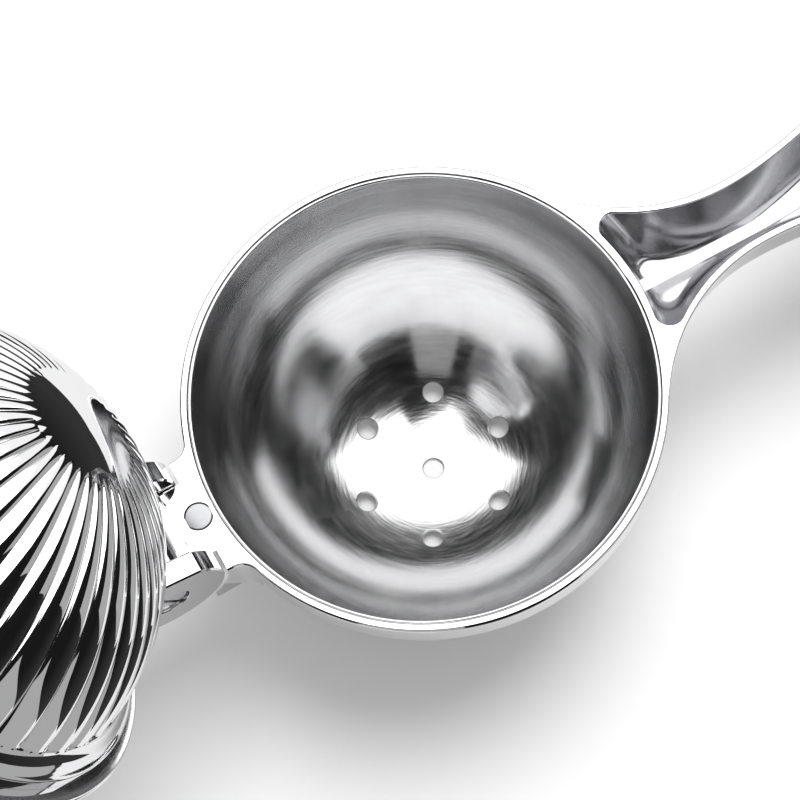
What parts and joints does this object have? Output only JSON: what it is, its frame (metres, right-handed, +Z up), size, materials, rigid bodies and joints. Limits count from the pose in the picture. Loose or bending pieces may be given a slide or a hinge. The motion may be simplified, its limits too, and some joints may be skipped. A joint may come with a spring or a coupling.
{
  "type": "hinged citrus press",
  "caption": "Hand-held hinged press: a drilled half-round cup in a ring with a channelled handle, and a ribbed dome on a matching lever that folds over into it.",
  "frame": {"origin": "centre of the cup's mouth, on the flat face where the two halves meet", "axes": "+X along the bowl's handle, +Y along the hinge axis, +Z up out of the cup; the lever is shown fully open, over the -X side"},
  "size_m": [0.3155, 0.0702, 0.2278],
  "materials": {
    "polished_casting": "mirror-polished chrome plating",
    "brushed_cup": "satin, brushed in circles",
    "magnet": "nickel-plated, fine straight brushing",
    "hinge_steel": "turned stainless steel",
    "washer": "plain natural plastic"
  },
  "bodies": {
    "bowl": {"bowl_frame": "polished_casting", "juice_cup": "brushed_cup", "bowl_magnet": "magnet", "thrust_washers": "washer"},
    "lever": {"lever_frame": "polished_casting", "press_dome": "polished_casting", "lever_magnet": "magnet", "hinge_sleeve": "hinge_steel", "hinge_screw": "hinge_steel"}
  },
  "joints": [
    {"name": "lever_hinge", "type": "hinge", "parent": "bowl", "child": "lever", "pos_m": [-0.046, 0, 0], "axis": [0, 1, 0], "range_deg": [0, 117]}
  ]
}
